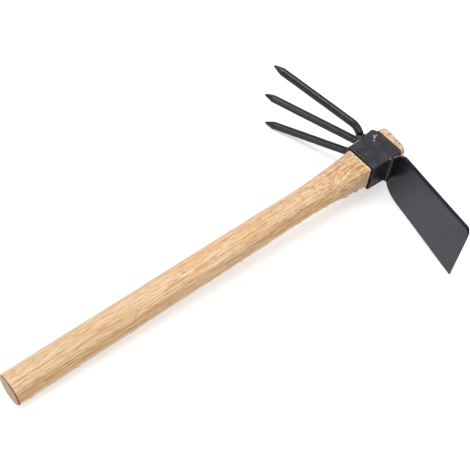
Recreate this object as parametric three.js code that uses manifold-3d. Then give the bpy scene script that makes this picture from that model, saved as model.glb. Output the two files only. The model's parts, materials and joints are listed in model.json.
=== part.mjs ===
// Double hoe: a steel eye on a wooden handle, with a flat blade welded to one side of the eye and
// three round tines welded to the other.
//
// Lengths are millimetres. The tool is made in a frame of its own: X runs along the handle towards
// the head and is zero at the eye's front rim, Y points from the blade's side to the fork's side,
// and Z is square to both. At the end the whole tool is laid on the ground, which is Z = 0.

import * as THREE from 'three';
import { mergeVertices } from 'three/addons/utils/BufferGeometryUtils.js';
import Module from 'manifold-3d';

// Handle
const gripDiameter = 28;
const gripLength = 309;
const waistDiameter = 27.3;
const waistEase = 60;
const neckLength = 72;
const buttRounding = 1.8;
const stubLength = 12.4;
const stubSlant = 3.4;
const stubRounding = 2.4;

// Eye, the tapered steel box that the handle is driven into
const eyeLength = 35.6;
const eyeFrontWidth = 35.4;
const eyeBackWidth = 37.8;
const eyeDepth = 31.9;
const eyeDrop = 1.4;
const eyeWall = 2.4;
const eyeCornerRadius = 2.6;
const eyeRimRounding = 0.5;

// Wedge, the steel slip that spreads the handle inside the eye
const wedgeLength = 24;
const wedgeThickness = 3;
const wedgeTipThickness = 0.8;
const wedgeWidth = 17;
const wedgeSink = 1;

// Blade
const bladeLength = 110.3;
const bladeEdgeWidth = 66.6;
const bladeRootWidth = 55.5;
const bladeThickness = 3.3;
const bladeTiltDegrees = 10.8;
const upperShoulderLength = 15;
const lowerShoulderLength = 26;
const upperCornerRadius = 7.4;
const lowerCornerRadius = 1.2;
const grindLength = 7;
const cuttingEdgeThickness = 0.7;

// Fork: how far out from the eye each tine reaches, and how far up or down its tip and bend lie
const tineDiameter = 8;
const tinePointLength = 9;
const tineTipDiameter = 2.4;
const forkTiltDegrees = 17.4;
const centreTineReach = 110.9;
const centreTineSag = 1.4;
const sideTineReach = 106;
const upperTineRise = 40.6;
const lowerTineDrop = 38.7;
const bendReach = 10.6;
const upperBendRise = 18.4;
const lowerBendDrop = 19.5;
const bendRadius = 15;

// Welds
const rippleRadius = 2.9;
const ripplePitch = 2.5;
const bladeWeldLength = 24;
const forkFrontWeldLength = 24;
const forkBackWeldLength = 12;

// Fits and cutting
const seatGap = 0.3;
const overrun = 6;

// Shares and counts
const tenonSquarenessShare = 0.875;
const squaringPower = 1.4;
const bladeSeatShare = 0.654;
const forkSeatShare = 0.691;
const rippleSizeShares = [1, 0.9, 1.05, 0.94, 1.02, 0.88];
const rippleFlatShare = 0.8;
const weldStandoffShare = 0.3;
const upperShoulderShares = { slopeEnd: [0.4, 0.6], turn: [0.62, 0.96] };
const lowerShoulderShares = { turn: [0.36, 0.94] };
const roundingShare = 1e-5;
const barSides = 44;
const neckRings = 12;
const waistRings = 5;
const roundingRings = 3;
const tineSides = 14;
const cornerSegments = 4;
const bendSteps = 3;
const settleRounds = 6;
const restLeanDegrees = 10;

// Finishes
const paleWood = new THREE.MeshStandardMaterial({ color: 0xd9ae7c, roughness: 0.62, metalness: 0 });
const blackSteel = new THREE.MeshStandardMaterial({ color: 0x47454a, roughness: 0.48, metalness: 0.35 });
const weldMetal = new THREE.MeshStandardMaterial({ color: 0x3b393d, roughness: 0.42, metalness: 0.45 });
const plainSteel = new THREE.MeshStandardMaterial({ color: 0x77767a, roughness: 0.45, metalness: 0.8 });

// Solids: closed geometries are joined and cut as manifolds
const wasm = await Module();
wasm.setup();

function asSolid(geometry) {
  const bare = new THREE.BufferGeometry();
  bare.setAttribute('position', geometry.getAttribute('position').clone());
  if (geometry.index) {
    bare.setIndex(geometry.index.clone());
  }
  const merged = mergeVertices(bare, 1e-4);
  const corners = merged.index.array;
  const kept = [];
  for (let i = 0; i < corners.length; i += 3) {
    const [a, b, c] = corners.slice(i, i + 3);
    if (a !== b && b !== c && c !== a) {
      kept.push(a, b, c);
    }
  }
  const vertProperties = new Float32Array(merged.getAttribute('position').array);
  return new wasm.Manifold(new wasm.Mesh({ numProp: 3, vertProperties, triVerts: new Uint32Array(kept) }));
}

function asGeometry(solid) {
  const { numProp, vertProperties, triVerts } = solid.getMesh();
  const points = [];
  for (let i = 0; i < vertProperties.length; i += numProp) {
    points.push(...vertProperties.slice(i, i + 3));
  }
  const geometry = new THREE.BufferGeometry();
  geometry.setAttribute('position', new THREE.Float32BufferAttribute(points, 3));
  geometry.setIndex(Array.from(triVerts));
  const faceted = geometry.toNonIndexed();
  faceted.computeVertexNormals();
  return faceted;
}

function joined(geometries) {
  return geometries.map(asSolid).reduce((whole, next) => whole.add(next));
}

function cutBy(solid, geometries) {
  return geometries.map(asSolid).reduce((rest, tool) => rest.subtract(tool), solid);
}

// Moves every vertex of a geometry to where a rule puts it
function reshaped(geometry, rule) {
  const positions = geometry.getAttribute('position');
  const vertex = new THREE.Vector3();
  for (let i = 0; i < positions.count; i += 1) {
    vertex.fromBufferAttribute(positions, i);
    const moved = rule(vertex);
    positions.setXYZ(i, moved.x, moved.y, moved.z);
  }
  return geometry;
}

function mix(from, to, share) {
  return from + (to - from) * share;
}

function eased(share) {
  return (1 - Math.cos(Math.PI * share)) / 2;
}

// The eye widens evenly from its front rim to its back rim, and so does its bore
function eyeGrowth(x) {
  return mix(1, eyeBackWidth / eyeFrontWidth, x / eyeLength);
}

function eyeHalfWidth(x) {
  return (eyeFrontWidth / 2) * eyeGrowth(x);
}

function boreHalfWidth(x) {
  return (eyeFrontWidth / 2 - eyeWall) * eyeGrowth(x);
}

const boreHalfDepth = eyeDepth / 2 - eyeWall;
const eyeTaperAngle = Math.atan((eyeBackWidth - eyeFrontWidth) / 2 / eyeLength);

// Handle: rings along X, each a section between round (squareness 0) and square
function ring(x, halfWidth, halfDepth, { squareness = 0, drop = 0, slant = 0 } = {}) {
  return { x, halfWidth, halfDepth, squareness, drop, slant };
}

function handleRings() {
  const radius = gripDiameter / 2;
  const waistRadius = waistDiameter / 2;
  const butt = -(gripLength + neckLength);
  const rings = [];
  for (let i = 0; i <= roundingRings; i += 1) {
    const angle = (Math.PI / 2) * (i / roundingRings);
    const size = radius - buttRounding * (1 - Math.sin(angle));
    rings.push(ring(butt + buttRounding * (1 - Math.cos(angle)), size, size));
  }
  for (let i = 0; i <= waistRings; i += 1) {
    const share = i / waistRings;
    const size = mix(radius, waistRadius, eased(share));
    rings.push(ring(-neckLength - waistEase * (1 - share), size, size));
  }
  const frontHalfWidth = boreHalfWidth(0) - seatGap;
  const tenonHalfDepth = boreHalfDepth - seatGap;
  for (let i = 1; i <= neckRings; i += 1) {
    const share = i / neckRings;
    const width = mix(waistRadius, frontHalfWidth, share);
    const depth = mix(waistRadius, tenonHalfDepth, share);
    const squareness = tenonSquarenessShare * share ** squaringPower;
    rings.push(ring(-neckLength * (1 - share), width, depth, { squareness, drop: eyeDrop * share }));
  }
  const backHalfWidth = boreHalfWidth(eyeLength) - seatGap;
  const tenon = { squareness: tenonSquarenessShare, drop: eyeDrop };
  const slant = stubSlant / (2 * backHalfWidth);
  rings.push(ring(eyeLength, backHalfWidth, tenonHalfDepth, tenon));
  for (let i = 0; i <= roundingRings; i += 1) {
    const angle = (Math.PI / 2) * (i / roundingRings);
    const inset = stubRounding * (1 - Math.cos(angle));
    const x = eyeLength + stubLength - stubRounding * (1 - Math.sin(angle));
    rings.push(ring(x, backHalfWidth - inset, tenonHalfDepth - inset, { ...tenon, slant }));
  }
  return rings;
}

// A share raised to a power, keeping its sign; a share that is zero but for rounding stays zero
function power(share, exponent) {
  return Math.abs(share) < roundingShare ? 0 : Math.sign(share) * Math.abs(share) ** exponent;
}

function barThrough(rings) {
  const bar = new THREE.CylinderGeometry(1, 1, 1, barSides, rings.length - 1);
  bar.rotateZ(-Math.PI / 2);
  return reshaped(bar, (vertex) => {
    const station = rings[Math.round((vertex.x + 1 / 2) * (rings.length - 1))];
    const radius = Math.hypot(vertex.y, vertex.z);
    const exponent = 1 - station.squareness;
    const onAxis = radius < 1 / barSides;
    const y = onAxis ? 0 : station.halfWidth * power(vertex.y / radius, exponent);
    const z = onAxis ? 0 : station.halfDepth * power(vertex.z / radius, exponent);
    return new THREE.Vector3(station.x + station.slant * y, y, z - station.drop);
  });
}

// A wedge's blank, thick at its outer end, as wide as given, with room added on every side
function wedgeBlank(room, extra) {
  const blank = new THREE.BoxGeometry(wedgeLength + extra, wedgeThickness + 2 * room, wedgeWidth + 2 * room);
  const tipShare = (wedgeTipThickness + 2 * room) / (wedgeThickness + 2 * room);
  reshaped(blank, (vertex) => {
    vertex.y *= vertex.x < 0 ? tipShare : 1;
    return vertex;
  });
  return blank.translate((wedgeLength + extra) / 2 - wedgeLength, 0, 0);
}

const wedgeTop = eyeLength + stubLength - wedgeSink;

function handleGeometry() {
  const kerf = wedgeBlank(seatGap, overrun).translate(wedgeTop, 0, -eyeDrop);
  const bottomRoom = new THREE.BoxGeometry(2 * seatGap, wedgeTipThickness + 2 * seatGap, wedgeWidth + 2 * seatGap);
  bottomRoom.translate(wedgeTop - wedgeLength, 0, -eyeDrop);
  return asGeometry(cutBy(joined([barThrough(handleRings())]), [kerf, bottomRoom]));
}

// Eye: a box section with round corners, extruded along X and then widened towards the back
function roundedBox(outline, halfHeight, halfWidth, radius) {
  outline.moveTo(halfHeight - radius, -halfWidth);
  outline.absarc(halfHeight - radius, radius - halfWidth, radius, -Math.PI / 2, 0);
  outline.absarc(halfHeight - radius, halfWidth - radius, radius, 0, Math.PI / 2);
  outline.absarc(radius - halfHeight, halfWidth - radius, radius, Math.PI / 2, Math.PI);
  outline.absarc(radius - halfHeight, radius - halfWidth, radius, Math.PI, (3 * Math.PI) / 2);
  return outline;
}

function widenedBack(geometry) {
  return reshaped(geometry, (vertex) => {
    vertex.y *= eyeGrowth(vertex.x);
    return vertex;
  });
}

function eyeGeometry() {
  const section = roundedBox(new THREE.Shape(), eyeDepth / 2, eyeFrontWidth / 2, eyeCornerRadius);
  const boreRadius = Math.max(eyeCornerRadius - eyeWall, eyeRimRounding);
  section.holes.push(roundedBox(new THREE.Path(), boreHalfDepth, eyeFrontWidth / 2 - eyeWall, boreRadius));
  const box = new THREE.ExtrudeGeometry(section, {
    depth: eyeLength - 2 * eyeRimRounding,
    curveSegments: cornerSegments,
    bevelThickness: eyeRimRounding,
    bevelSize: eyeRimRounding,
    bevelOffset: -eyeRimRounding,
    bevelSegments: 2,
  });
  box.translate(0, 0, eyeRimRounding).rotateY(Math.PI / 2).translate(0, 0, -eyeDrop);
  return asGeometry(joined([widenedBack(box)]));
}

// The room that a piece welded to the eye leaves for it
function eyeRoom() {
  const section = roundedBox(
    new THREE.Shape(),
    eyeDepth / 2 + seatGap,
    eyeFrontWidth / 2 + seatGap,
    eyeCornerRadius + seatGap,
  );
  const depth = eyeLength + 2 * overrun;
  const room = new THREE.ExtrudeGeometry(section, { depth, curveSegments: cornerSegments, bevelEnabled: false });
  return widenedBack(room.translate(0, 0, -overrun).rotateY(Math.PI / 2).translate(0, 0, -eyeDrop));
}

// A seat on the eye's side: the point where a piece springs, and the frame that it is built in.
// The frame's X runs out along the piece, its Y is the tool's Z, and its Z completes the three.
function seatOn(side, x, tiltDegrees) {
  const tilt = THREE.MathUtils.degToRad(tiltDegrees);
  const along = new THREE.Vector3(-Math.sin(tilt), side * Math.cos(tilt), 0);
  const upward = new THREE.Vector3(0, 0, 1);
  const across = along.clone().cross(upward);
  const frame = new THREE.Matrix4().makeBasis(along, upward, across);
  return frame.setPosition(x, side * eyeHalfWidth(x), 0);
}

const bladeSeat = seatOn(-1, bladeSeatShare * eyeLength, bladeTiltDegrees);
const forkSeat = seatOn(1, forkSeatShare * eyeLength, forkTiltDegrees);

function seenFrom(seat, geometry) {
  return geometry.clone().applyMatrix4(seat.clone().invert());
}

// Blade: its inner face is the seat's plane, and its thickness lies on the far side of it.
// The upper shoulder is a slope with a short turn, the lower one a longer curve.
function bladeHalfWidth(along) {
  return mix(bladeRootWidth, bladeEdgeWidth, along / bladeLength) / 2;
}

function bladeOutline() {
  const rootTop = eyeDepth / 2 - eyeDrop;
  const rootBottom = -eyeDepth / 2 - eyeDrop;
  const upperShoulder = bladeHalfWidth(upperShoulderLength);
  const lowerShoulder = bladeHalfWidth(lowerShoulderLength);
  const upper = ([along, out]) => [along * upperShoulderLength, mix(rootTop, upperShoulder, out)];
  const lower = ([along, out]) => [along * lowerShoulderLength, mix(rootBottom, -lowerShoulder, out)];
  const edgeHalf = bladeEdgeWidth / 2;
  const outline = new THREE.Shape();
  outline.moveTo(-overrun, rootBottom);
  outline.lineTo(0, rootBottom);
  outline.quadraticCurveTo(...lower(lowerShoulderShares.turn), lowerShoulderLength, -lowerShoulder);
  outline.lineTo(bladeLength - lowerCornerRadius, -bladeHalfWidth(bladeLength - lowerCornerRadius));
  outline.quadraticCurveTo(bladeLength, -edgeHalf, bladeLength, lowerCornerRadius - edgeHalf);
  outline.lineTo(bladeLength, edgeHalf - upperCornerRadius);
  outline.quadraticCurveTo(
    bladeLength,
    edgeHalf,
    bladeLength - upperCornerRadius,
    bladeHalfWidth(bladeLength - upperCornerRadius),
  );
  outline.lineTo(upperShoulderLength, upperShoulder);
  outline.quadraticCurveTo(...upper(upperShoulderShares.turn), ...upper(upperShoulderShares.slopeEnd));
  outline.lineTo(0, rootTop);
  outline.lineTo(-overrun, rootTop);
  return outline;
}

// The grinding wheel's path takes the outer face down to the cutting edge
function grinding() {
  const angle = Math.atan((bladeThickness - cuttingEdgeThickness) / grindLength);
  const block = new THREE.BoxGeometry(2 * grindLength, 2 * bladeEdgeWidth, 2 * bladeThickness);
  block.translate(grindLength, 0, -bladeThickness);
  block.rotateY(-angle);
  return block.translate(bladeLength - grindLength, 0, -bladeThickness);
}

function bladeGeometry() {
  const plate = new THREE.ExtrudeGeometry(bladeOutline(), {
    depth: bladeThickness,
    curveSegments: 2 * cornerSegments,
    bevelEnabled: false,
  });
  plate.translate(0, 0, -bladeThickness);
  return asGeometry(cutBy(joined([plate]), [seenFrom(bladeSeat, eyeRoom()), grinding()]));
}

// Tines: round rods whose centre lines lie in the fork seat's plane
function polygon(radius) {
  const corners = [];
  for (let i = 0; i < tineSides; i += 1) {
    const angle = (2 * Math.PI * i) / tineSides;
    corners.push(new THREE.Vector2(radius * Math.cos(angle), radius * Math.sin(angle)));
  }
  return new THREE.Shape(corners);
}

function centreTinePath() {
  const tip = new THREE.Vector3(centreTineReach, -centreTineSag, 0);
  const path = new THREE.CurvePath();
  path.add(new THREE.LineCurve3(new THREE.Vector3(-tineDiameter, 0, 0), tip));
  return path;
}

// A side tine leaves the root steeply and bends outwards once
function sideTinePath(bendRise, tipRise) {
  const root = new THREE.Vector3(0, 0, 0);
  const corner = new THREE.Vector3(bendReach, bendRise, 0);
  const tip = new THREE.Vector3(sideTineReach, tipRise, 0);
  const inward = root.clone().sub(corner);
  const outward = tip.clone().sub(corner);
  const turn = Math.PI - inward.angleTo(outward);
  const most = Math.min(inward.length(), outward.length()) - tineDiameter / 2;
  const tangent = Math.min(bendRadius * Math.tan(turn / 2), most);
  const start = corner.clone().addScaledVector(inward.normalize(), tangent);
  const end = corner.clone().addScaledVector(outward.normalize(), tangent);
  const path = new THREE.CurvePath();
  path.add(new THREE.LineCurve3(root, start));
  path.add(new THREE.QuadraticBezierCurve3(start, corner, end));
  path.add(new THREE.LineCurve3(end, tip));
  return path;
}

function rodAlong(path, radius) {
  const steps = Math.ceil((bendSteps * path.getLength()) / tinePointLength);
  return new THREE.ExtrudeGeometry(polygon(radius), { steps, extrudePath: path, bevelEnabled: false });
}

// Draws the rod's last stretch down to a blunt point
function pointed(rod, path) {
  const tip = path.getPoint(1);
  const forward = path.getTangent(1);
  const tipShare = tineTipDiameter / tineDiameter;
  return reshaped(rod, (vertex) => {
    const behind = tip.clone().sub(vertex).dot(forward);
    const onAxis = tip.clone().addScaledVector(forward, -behind);
    const size = Math.min(1, mix(tipShare, 1, behind / tinePointLength));
    return onAxis.add(vertex.clone().sub(onAxis).multiplyScalar(size));
  });
}

const tinePaths = {
  centre: centreTinePath(),
  upper: sideTinePath(upperBendRise, upperTineRise),
  lower: sideTinePath(-lowerBendDrop, -lowerTineDrop),
};

function rodRoom(path) {
  return rodAlong(path, tineDiameter / 2 + seatGap);
}

// Each side tine is coped to the eye and to the centre tine, which is coped to the eye alone
function tineGeometry(path, neighbours) {
  const rod = joined([pointed(rodAlong(path, tineDiameter / 2), path)]);
  return asGeometry(cutBy(rod, [seenFrom(forkSeat, eyeRoom()), ...neighbours]));
}

// A weld bead: overlapping ripples in a row along its frame's Y, cut clear of what it joins
function beadGeometry(length, middle, rooms) {
  const count = Math.max(2, Math.round(length / ripplePitch));
  const ripples = [];
  for (let i = 0; i < count; i += 1) {
    const radius = rippleRadius * rippleSizeShares[i % rippleSizeShares.length];
    const ripple = new THREE.IcosahedronGeometry(radius, 1);
    ripple.scale(1, rippleFlatShare, 1);
    ripple.translate(middle.x, middle.y + mix(-length, length, i / (count - 1)) / 2, middle.z);
    ripples.push(ripple);
  }
  return asGeometry(cutBy(joined(ripples), rooms));
}

function bladeWeld(side) {
  const plateRoom = new THREE.BoxGeometry(2 * bladeLength, 2 * bladeEdgeWidth, bladeThickness + 2 * seatGap);
  plateRoom.translate(0, 0, -bladeThickness / 2);
  const face = side > 0 ? 0 : -bladeThickness;
  const standoff = weldStandoffShare * rippleRadius;
  const middle = new THREE.Vector3(standoff, -eyeDrop, face + side * standoff);
  return beadGeometry(bladeWeldLength, middle, [seenFrom(bladeSeat, eyeRoom()), plateRoom]);
}

function forkWeld(side, length) {
  const rooms = Object.values(tinePaths).map(rodRoom);
  const standoff = weldStandoffShare * rippleRadius;
  const middle = new THREE.Vector3(standoff, 0, side * (tineDiameter / 2 + standoff));
  return beadGeometry(length, middle, [seenFrom(forkSeat, eyeRoom()), ...rooms]);
}

// Pieces, each a named mesh in the group that carries it
function piece(name, geometry, material) {
  const mesh = new THREE.Mesh(geometry, material.clone());
  mesh.name = name;
  return mesh;
}

function groupAt(seat, pieces) {
  const group = new THREE.Group();
  group.applyMatrix4(seat);
  group.add(...pieces);
  return group;
}

const centreRoom = rodRoom(tinePaths.centre);
const handle = piece('handle', handleGeometry(), paleWood);
const wedge = piece('wedge', wedgeBlank(0, 0), plainSteel);
wedge.position.set(wedgeTop, 0, -eyeDrop);
const eye = piece('eye', eyeGeometry(), blackSteel);
const blade = piece('blade', bladeGeometry(), blackSteel);
const centreTine = piece('centre_tine', tineGeometry(tinePaths.centre, []), blackSteel);
const upperTine = piece('upper_side_tine', tineGeometry(tinePaths.upper, [centreRoom]), blackSteel);
const lowerTine = piece('lower_side_tine', tineGeometry(tinePaths.lower, [centreRoom]), blackSteel);

const tool = new THREE.Group();
tool.add(
  handle,
  wedge,
  eye,
  groupAt(bladeSeat, [
    blade,
    piece('blade_weld_inner', bladeWeld(1), weldMetal),
    piece('blade_weld_outer', bladeWeld(-1), weldMetal),
  ]),
  groupAt(forkSeat, [
    centreTine,
    upperTine,
    lowerTine,
    piece('fork_weld_back', forkWeld(1, forkBackWeldLength), weldMetal),
    piece('fork_weld_front', forkWeld(-1, forkFrontWeldLength), weldMetal),
  ]),
);

// Laying the tool down: it touches the ground at the blade's lower corner, at the lower tine's tip
// and at the handle's butt, so the ground is the plane through the lowest vertex of each of them.
function lowestVertex(mesh, up) {
  const positions = mesh.geometry.getAttribute('position');
  let lowest = null;
  for (let i = 0; i < positions.count; i += 1) {
    const vertex = new THREE.Vector3().fromBufferAttribute(positions, i).applyMatrix4(mesh.matrixWorld);
    if (lowest === null || vertex.dot(up) < lowest.dot(up)) {
      lowest = vertex;
    }
  }
  return lowest;
}

function groundNormal(meshes) {
  const lean = THREE.MathUtils.degToRad(restLeanDegrees);
  let up = new THREE.Vector3(Math.sin(lean), 0, Math.cos(lean));
  for (let round = 0; round < settleRounds; round += 1) {
    const [first, second, third] = meshes.map((mesh) => lowestVertex(mesh, up));
    up = second.clone().sub(first).cross(third.clone().sub(first)).normalize();
    up.multiplyScalar(Math.sign(up.z));
  }
  return up;
}

tool.updateMatrixWorld(true);
const up = groundNormal([blade, lowerTine, handle]);
const forward = new THREE.Vector3(1, 0, 0).projectOnPlane(up).normalize();
const sideways = up.clone().cross(forward);
tool.applyMatrix4(new THREE.Matrix4().makeBasis(forward, sideways, up).transpose());
tool.updateMatrixWorld(true);

// The part's origin is on the ground, under the middle of the tool's box
const box = new THREE.Box3().setFromObject(tool, true);
const middle = box.getCenter(new THREE.Vector3());
tool.position.set(-middle.x, -middle.y, -box.min.z);

const doubleHoe = new THREE.Group();
doubleHoe.add(tool);

export default doubleHoe;
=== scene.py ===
# %% [markdown]
# # A double hoe, dressed for its photograph
#
# The hoe has a short wooden handle and a steel head: a box-shaped eye that the handle is driven
# into, a flat blade welded to one side of the eye and three round tines welded to the other.
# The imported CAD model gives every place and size. This lesson builds the shapes and finishes
# that the eye sees, piece by piece, around that model.

# %% Load the CAD frame
import json
import math
import random

import bpy
from mathutils import Matrix, Vector, noise


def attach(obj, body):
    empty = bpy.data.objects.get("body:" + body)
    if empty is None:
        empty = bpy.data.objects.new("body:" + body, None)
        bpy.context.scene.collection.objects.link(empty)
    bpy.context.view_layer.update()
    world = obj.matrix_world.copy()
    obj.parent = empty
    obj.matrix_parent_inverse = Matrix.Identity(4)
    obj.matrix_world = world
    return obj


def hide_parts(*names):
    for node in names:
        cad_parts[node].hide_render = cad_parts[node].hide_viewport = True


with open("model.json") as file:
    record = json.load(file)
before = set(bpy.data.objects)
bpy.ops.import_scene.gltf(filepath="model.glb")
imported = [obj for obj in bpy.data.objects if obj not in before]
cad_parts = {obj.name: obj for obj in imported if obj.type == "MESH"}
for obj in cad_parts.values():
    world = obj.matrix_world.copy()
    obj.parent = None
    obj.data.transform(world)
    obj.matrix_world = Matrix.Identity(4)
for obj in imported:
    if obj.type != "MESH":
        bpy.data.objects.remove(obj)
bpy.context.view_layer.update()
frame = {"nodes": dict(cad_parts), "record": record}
print("CAD nodes:", sorted(frame["nodes"]))

# %% [markdown]
# ## Where the tool lies
#
# The hoe lies on the ground a little askew, so its pieces are easier to make in a frame of the
# tool's own, in millimetres: X along the handle towards the head, zero at the eye's front rim; Y
# from the blade's side to the fork's side; Z square to both. The record's flat faces say how that
# frame lies: the butt's normal runs down the handle, and the upper cheek's normal is the tool's Z.

# %% The tool's own frame
MM = 0.001
GRIP_LENGTH = 309
NECK_LENGTH = 72
mounts = {mount["name"]: mount for mount in frame["record"]["mounts"]}
along = -Vector(mounts["butt_end"]["axis"]).normalized()
upward = Vector(mounts["upper_cheek"]["axis"]).normalized()
sideways = upward.cross(along).normalized()
tool = Matrix((along, sideways, upward)).transposed().to_4x4()
tool.translation = Vector(mounts["butt_end"]["pos_m"]) + along * (GRIP_LENGTH + NECK_LENGTH) * MM
print("the eye's front rim is at", [round(v, 4) for v in tool.translation])

# %% [markdown]
# ## One helper for every drawn-out shape
#
# A handle, a rod, a weld bead and a box section are all a closed outline carried along a line.
# A mesh that joins one ring of points to the next makes them all, and each ring can be a little
# uneven, as hand work is. Sculpting would give the same unevenness, but its sizes couldn't be
# kept in step with the CAD model.


# %% Loft a surface through rings of points
CREASE = math.radians(38)


def added(name, data):
    """A new object in the scene."""
    thing = bpy.data.objects.new(name, data)
    bpy.context.scene.collection.objects.link(thing)
    return thing


def lofted(name, rings, stands_for=None, closed_loop=False):
    """A piece in the tool's frame, with one ring of points joined to the next."""
    count = len(rings[0])
    verts = [tool @ (Vector(p) * MM) for ring in rings for p in ring]
    faces = []
    for i in range(len(rings) if closed_loop else len(rings) - 1):
        a, b = i * count, (i + 1) % len(rings) * count
        faces += [(a + j, a + (j + 1) % count, b + (j + 1) % count, b + j) for j in range(count)]
    if not closed_loop:
        faces.append(tuple(reversed(range(count))))
        faces.append(tuple(range((len(rings) - 1) * count, len(rings) * count)))
    mesh = bpy.data.meshes.new(name)
    mesh.from_pydata(verts, [], faces)
    mesh.shade_smooth()
    mesh.set_sharp_from_angle(angle=CREASE)
    piece = added(name, mesh)
    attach(piece, "root")
    if stands_for:
        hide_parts(stands_for)
    print(name, "has", len(verts), "points")
    return piece


def mix(a, b, share):
    return a + (b - a) * share


def eased(share):
    """From 0 to 1 with a gentle start and end."""
    return (1 - math.cos(math.pi * min(1, max(0, share)))) / 2


def wobble(x, y, z, size, amount, seed=0):
    """A smooth chance number about zero, from a place in millimetres and a lump size."""
    return amount * noise.noise(Vector((x / size + seed * 7.3, y / size, z / size)))


def dome(distance, size):
    """1 at the middle of a lump and 0 at its edge."""
    return eased(1 - distance / size) if distance < size else 0.0


def quarter_turn(steps):
    """Evenly spaced angles from 0 to a right angle."""
    return [math.pi / 2 * i / steps for i in range(steps + 1)]


# %% [markdown]
# ## The handle
#
# The grip is turned round, and the neck is shaped by hand from round to the square tenon that
# fills the eye. Each ring is a superellipse, whose corners sharpen as its exponent falls, so the
# change from round to square needs only one number that grows along the neck. The wood is torn
# up a little along the neck's lower corner and the grip's lower edge, where the tool met the
# grain, and the stub beyond the eye is slightly spread, as it is when the handle is driven home.

# %% Sizes of the handle
GRIP_RADIUS = 14
WAIST_RADIUS = 13.65
WAIST_EASE = 60
BUTT_ROUNDING = 1.4
EYE_LENGTH = 35.6
EYE_DROP = 1.4
EYE_WALL = 2.4
EYE_FRONT_HALF = 17.7
EYE_BACK_HALF = 18.9
EYE_HALF_DEPTH = 15.95
SEAT_GAP = 0.3
STUB_LENGTH = 12.4
STUB_SLANT = 3.4
STUB_ROUNDING = 3.0
STUB_SPREAD = 0.7
STUB_SOFTENING = 0.2
STUB_START = 0.6
STUB_STEPS = (1.6, 3, 5, 7)
STUB_SLANT_REACH = 8
TENON_SQUARENESS = 0.875
AROUND = 144
BUTT = -(GRIP_LENGTH + NECK_LENGTH)
print("the handle is", EYE_LENGTH + STUB_LENGTH - BUTT, "mm long")


# %% The handle's section at any place
def eye_half(x):
    """Half the eye's width, which grows towards the back."""
    return mix(EYE_FRONT_HALF, EYE_BACK_HALF, x / EYE_LENGTH)


def bore_half(x):
    return (EYE_FRONT_HALF - EYE_WALL) * eye_half(x) / EYE_FRONT_HALF


def power(share, exponent):
    """A power that keeps the sign of its base."""
    return 0.0 if abs(share) < 1e-5 else math.copysign(abs(share) ** exponent, share)


def handle_station(x):
    """Half width, half depth, squareness and drop of the handle's section at x."""
    tenon_depth = EYE_HALF_DEPTH - EYE_WALL - SEAT_GAP
    if x < -NECK_LENGTH:
        radius = mix(GRIP_RADIUS, WAIST_RADIUS, eased(1 + (x + NECK_LENGTH) / WAIST_EASE))
        return radius, radius, 0, 0
    if x < 0:
        share = 1 + x / NECK_LENGTH
        width = mix(WAIST_RADIUS, bore_half(0) - SEAT_GAP, share)
        depth = mix(WAIST_RADIUS, tenon_depth, share)
        return width, depth, TENON_SQUARENESS * share**1.4, EYE_DROP * share
    return bore_half(min(x, EYE_LENGTH)) - SEAT_GAP, tenon_depth, TENON_SQUARENESS, EYE_DROP


# %% Torn wood along the lower edge
chance = random.Random(11)
LOWER_CORNER_ANGLE = math.radians(214)
GRIP_EDGE_ANGLE = math.radians(198)
FIRST_TEAR = -14
LAST_TEAR = BUTT + 10
TEAR_LENGTHENING = 1.6
TEAR_NARROWING = 1.4
CHIPPED_MIDDLE = -14
CHIPPED_REACH = 16
CHIPPED_ANGLE = LOWER_CORNER_ANGLE - 0.45
CHIPPED_HALF_ANGLE = 0.9
# place along the handle, angle round it, size and height of each tear, the largest one first
tears = [(-27, LOWER_CORNER_ANGLE, 4.2, 1.3)]
station = FIRST_TEAR
while station > LAST_TEAR:
    edge_angle = mix(GRIP_EDGE_ANGLE, LOWER_CORNER_ANGLE, eased((station + 90) / 50))
    angle = edge_angle + chance.uniform(-0.12, 0.12)
    tears.append((station, angle, chance.uniform(1.2, 3.2), chance.uniform(0.25, 0.8)))
    station -= chance.uniform(3.5, 9) if station > BUTT / 2 else chance.uniform(8, 22)
print(len(tears), "small tears")


def surface_lift(x, angle):
    """How far the wood stands proud at a place, in millimetres."""
    y, z = GRIP_RADIUS * math.cos(angle), GRIP_RADIUS * math.sin(angle)
    lift = wobble(x * 0.2, y, z, 8, 0.18) + wobble(x, y * 3, z * 3, 6, 0.06, seed=2)
    from_chips = abs(x - CHIPPED_MIDDLE)
    if from_chips < CHIPPED_REACH and abs(angle - CHIPPED_ANGLE) < CHIPPED_HALF_ANGLE:
        chips = wobble(x, y * 1.3, z * 1.3, 2.2, 0.6, seed=5)
        lift += chips * dome(from_chips, CHIPPED_REACH)
    for tear_x, tear_angle, size, height in tears:
        if abs(x - tear_x) < size * TEAR_LENGTHENING:
            round_about = GRIP_RADIUS * (angle - tear_angle) * TEAR_NARROWING
            away = math.hypot((x - tear_x) / TEAR_LENGTHENING, round_about)
            lift += height * dome(away, size)
    return lift


def handle_ring(x, inset=0, slant=0, spread=0):
    """The handle's outline at x, drawn in by inset, slanted and spread."""
    half_width, half_depth, squareness, drop = handle_station(x)
    squareness -= STUB_SOFTENING * eased((x - EYE_LENGTH) / STUB_LENGTH)
    ring = []
    for j in range(AROUND):
        angle = 2 * math.pi * j / AROUND
        lift = surface_lift(x, angle) if x < -1 else 0
        grow = lift - inset
        y = (half_width + grow + spread * 0.6) * power(math.cos(angle), 1 - squareness)
        z = (half_depth + grow + spread) * power(math.sin(angle), 1 - squareness)
        ring.append((x + slant * y, y + spread * 0.5, z - drop))
    return ring


def butt_rings():
    rings = []
    for turn in quarter_turn(6):
        forward = BUTT_ROUNDING * (1 - math.cos(turn))
        inset = BUTT_ROUNDING * (1 - math.sin(turn))
        rings.append(handle_ring(BUTT + forward, inset))
    return rings


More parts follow.
